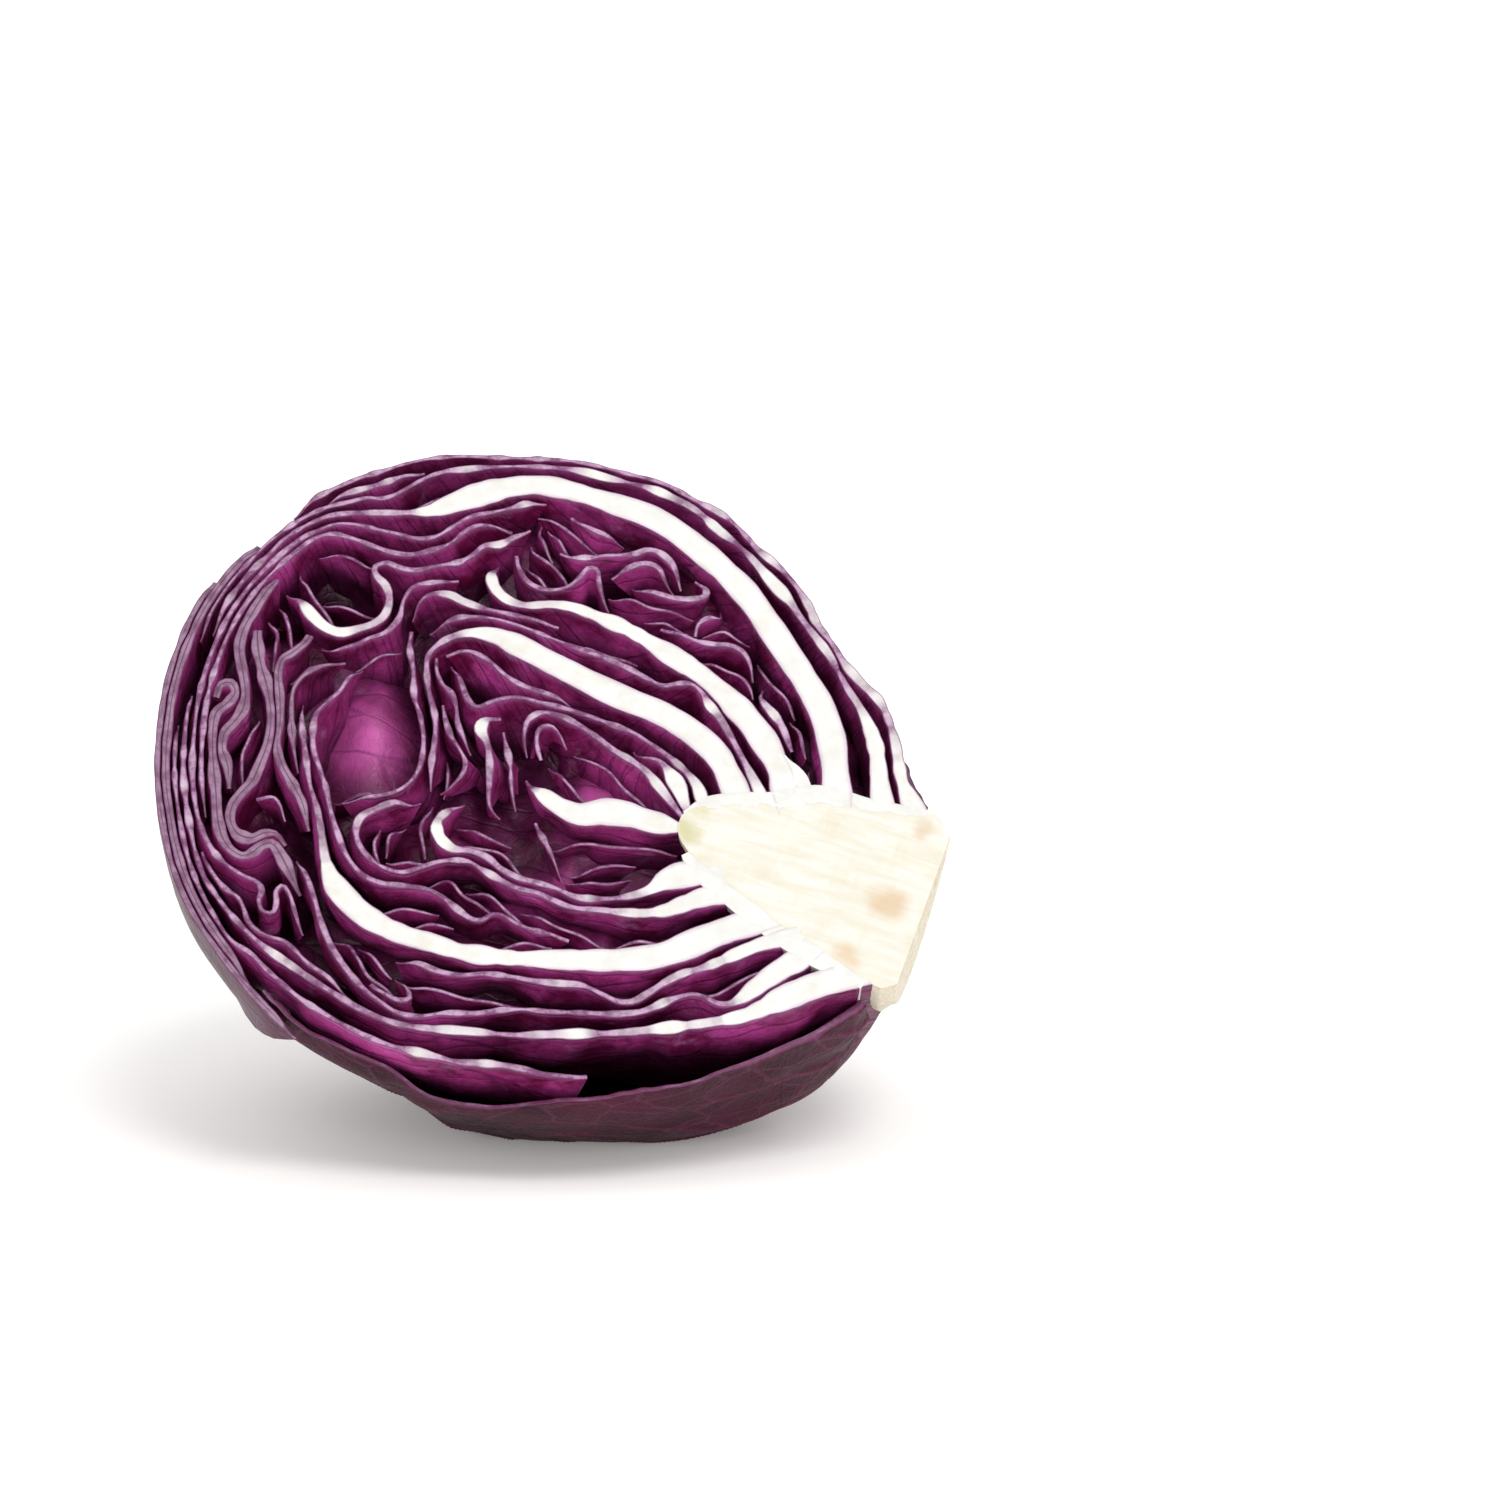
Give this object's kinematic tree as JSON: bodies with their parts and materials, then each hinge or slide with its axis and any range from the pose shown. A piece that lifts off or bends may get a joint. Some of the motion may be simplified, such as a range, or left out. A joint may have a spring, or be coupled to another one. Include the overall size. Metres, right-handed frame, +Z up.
{
  "type": "red cabbage half",
  "caption": "Half a red cabbage head cut lengthwise through the core, with nested purple leaves and pale ribs in the cut face, resting on a small flat spot.",
  "frame": {"origin": "centre of the underside of the bounding box, on the surface that the half rests on", "axes": "+X towards the cut stem, -X towards the head's far end, -Y and up the way the cut face looks, +Z up"},
  "size_m": [0.1706, 0.1399, 0.1407],
  "materials": {
    "core": "moist",
    "leaf": "satin",
    "wrapper": "satin"
  },
  "bodies": {
    "root": {"core": "core", "wrapper_lower": "wrapper", "wrapper_upper": "wrapper", "leaf_top_1": "leaf", "leaf_top_2": "leaf", "leaf_top_fold": "leaf", "leaf_top_3": "leaf", "leaf_top_4": "leaf", "leaf_top_5": "leaf", "leaf_top_6": "leaf", "leaf_ruffle_1": "leaf", "leaf_ruffle_2": "leaf", "leaf_ruffle_3": "leaf", "leaf_ruffle_4": "leaf", "leaf_ruffle_5": "leaf", "leaf_ruffle_6": "leaf", "leaf_ruffle_7": "leaf", "leaf_ruffle_8": "leaf", "leaf_upper_1": "leaf", "leaf_upper_2": "leaf", "leaf_upper_3": "leaf", "leaf_upper_4": "leaf", "leaf_upper_5": "leaf", "leaf_left_1": "leaf", "leaf_left_2": "leaf", "leaf_left_3": "leaf", "leaf_left_4": "leaf", "leaf_left_5": "leaf", "leaf_left_6": "leaf", "leaf_left_7": "leaf", "leaf_left_8": "leaf", "leaf_left_9": "leaf", "leaf_middle_1": "leaf", "leaf_middle_2": "leaf", "leaf_heart_1": "leaf", "leaf_heart_2": "leaf", "leaf_heart_3": "leaf", "leaf_heart_4": "leaf", "leaf_heart_5": "leaf", "leaf_heart_6": "leaf", "leaf_heart_7": "leaf", "leaf_heart_8": "leaf", "leaf_heart_9": "leaf", "leaf_heart_10": "leaf", "leaf_heart_11": "leaf", "leaf_heart_12": "leaf", "leaf_heart_13": "leaf", "leaf_low_1": "leaf", "leaf_low_2": "leaf", "leaf_low_3": "leaf", "leaf_low_4": "leaf", "leaf_low_5": "leaf", "leaf_low_6": "leaf"}
  },
  "joints": []
}
